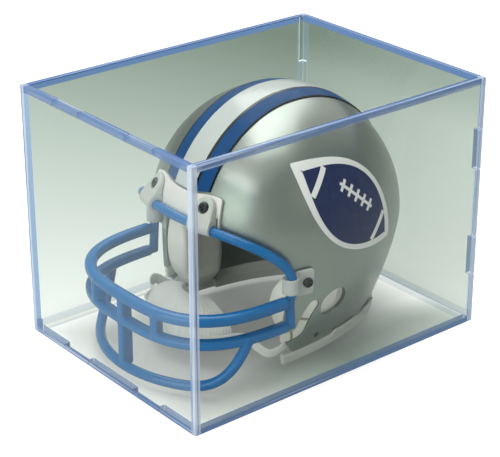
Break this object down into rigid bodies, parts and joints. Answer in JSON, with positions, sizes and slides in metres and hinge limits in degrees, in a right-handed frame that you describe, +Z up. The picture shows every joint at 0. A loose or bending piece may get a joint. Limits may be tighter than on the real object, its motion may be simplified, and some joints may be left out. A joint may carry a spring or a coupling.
{
  "type": "football helmet display case",
  "caption": "Clear snap-together display case of two interlocking halves, holding a miniature football helmet with a wire face mask, chin strap, liner pads and striped shell.",
  "frame": {"origin": "middle of the case's underside, on the surface that it stands on", "axes": "+Z up, +Y from the helmet's face to the back of the case, +X to the helmet's own left side"},
  "size_m": [0.13, 0.174, 0.128],
  "materials": {
    "clear_case": "clear polished styrene with a blue cast at its edges",
    "silver_shell": "glossy metallic silver paint",
    "blue_mask": "glossy vinyl coat",
    "white_plate": "glossy moulded plastic",
    "milky_clip": "translucent flexible plastic",
    "dark_screw": "dark oxide",
    "steel_nut": "bare",
    "pad_foam": "soft vinyl foam",
    "white_cup": "ribbed moulded plastic",
    "white_strap": "soft strap",
    "white_bumper": "soft moulded vinyl",
    "white_stripe": "glossy tape",
    "blue_stripe": "glossy tape",
    "blue_emblem": "glossy tape"
  },
  "bodies": {
    "rear_half": {"case_rear_half": "clear_case", "helmet_shell": "silver_shell", "facemask": "blue_mask", "brow_plate": "white_plate", "top_clip_left": "milky_clip", "top_clip_right": "milky_clip", "side_clip_left": "milky_clip", "side_clip_right": "milky_clip", "mask_screws": "dark_screw", "mask_nuts": "steel_nut", "jaw_pad_left": "pad_foam", "jaw_pad_right": "pad_foam", "brow_pad": "pad_foam", "crown_pad": "pad_foam", "nape_pad": "pad_foam", "chin_cup": "white_cup", "chin_strap_left": "white_strap", "chin_strap_right": "white_strap", "neck_bumper": "white_bumper", "middle_stripe": "white_stripe", "left_stripe": "blue_stripe", "right_stripe": "blue_stripe", "left_emblem": "blue_emblem", "right_emblem": "blue_emblem"},
    "front_half": {"case_front_half": "clear_case"}
  },
  "joints": [
    {"name": "front_half_slide", "type": "slide", "parent": "rear_half", "child": "front_half", "axis": [0, -1, 0], "range_m": [0, 0.18]}
  ]
}
